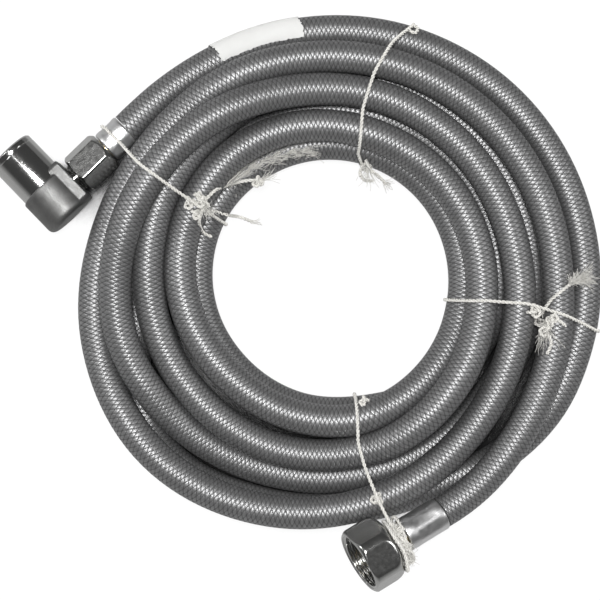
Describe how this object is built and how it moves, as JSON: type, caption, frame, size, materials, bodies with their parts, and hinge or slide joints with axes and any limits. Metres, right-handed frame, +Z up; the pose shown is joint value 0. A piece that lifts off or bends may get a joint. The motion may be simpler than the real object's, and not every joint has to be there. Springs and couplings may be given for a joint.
{
  "type": "dishwasher inlet hose",
  "caption": "Coiled steel-braided dishwasher inlet hose tied with twine, with a hex coupling nut on one end and a compression elbow with a plain socket on the other",
  "frame": {"origin": "the middle of the whole part's box in plan, on the surface that the coil lies on", "axes": "+Z up, away from that surface; +X along the elbow end's axis, from the elbow back to the hose; +Y along the elbow's socket, out of its mouth"},
  "size_m": [0.2398, 0.2616, 0.0462],
  "materials": {
    "braid": "bright stainless wire braid over a rubber hose",
    "ferrule": "bright drawn steel, crimped",
    "nickel": "nickel-plated brass, satin",
    "forging": "nickel-plated brass forging, matte, with a turned bright socket",
    "brass": "plain turned brass",
    "rubber": "matte black rubber",
    "liner": "matte moulded inner tube",
    "twine": "rough two-ply twine",
    "paper": "plain white paper"
  },
  "bodies": {
    "hose": {"hose_coil": "braid", "hose_lead_inlet": "braid", "hose_lead_elbow": "braid", "inlet_ferrule": "ferrule", "inlet_tube_end": "liner", "inlet_stem": "brass", "neck_twine": "twine", "elbow_ferrule": "ferrule", "elbow_tube_end": "liner", "elbow_stem": "brass", "tie_left": "twine", "tie_top": "twine", "tie_right": "twine", "tie_bottom": "twine", "label": "paper"},
    "inlet_nut": {"inlet_nut": "nickel", "inlet_washer": "rubber"},
    "compression_nut": {"compression_nut": "nickel"},
    "elbow": {"elbow_body": "forging", "cone_washer": "rubber"}
  },
  "joints": [
    {"name": "inlet_nut_turn", "type": "hinge", "parent": "hose", "child": "inlet_nut", "pos_m": [-0.06446, -0.11395, 0.02817], "axis": [-0.9352, 0.2418, 0.2588], "continuous": true},
    {"name": "compression_nut_turn", "type": "hinge", "parent": "hose", "child": "compression_nut", "pos_m": [-0.0335, 0.10148, 0.0126], "axis": [-1, 0, 0], "continuous": true},
    {"name": "elbow_turn", "type": "hinge", "parent": "hose", "child": "elbow", "pos_m": [-0.0657, 0.10148, 0.0126], "axis": [1, 0, 0], "range_deg": [-90, 90]}
  ]
}
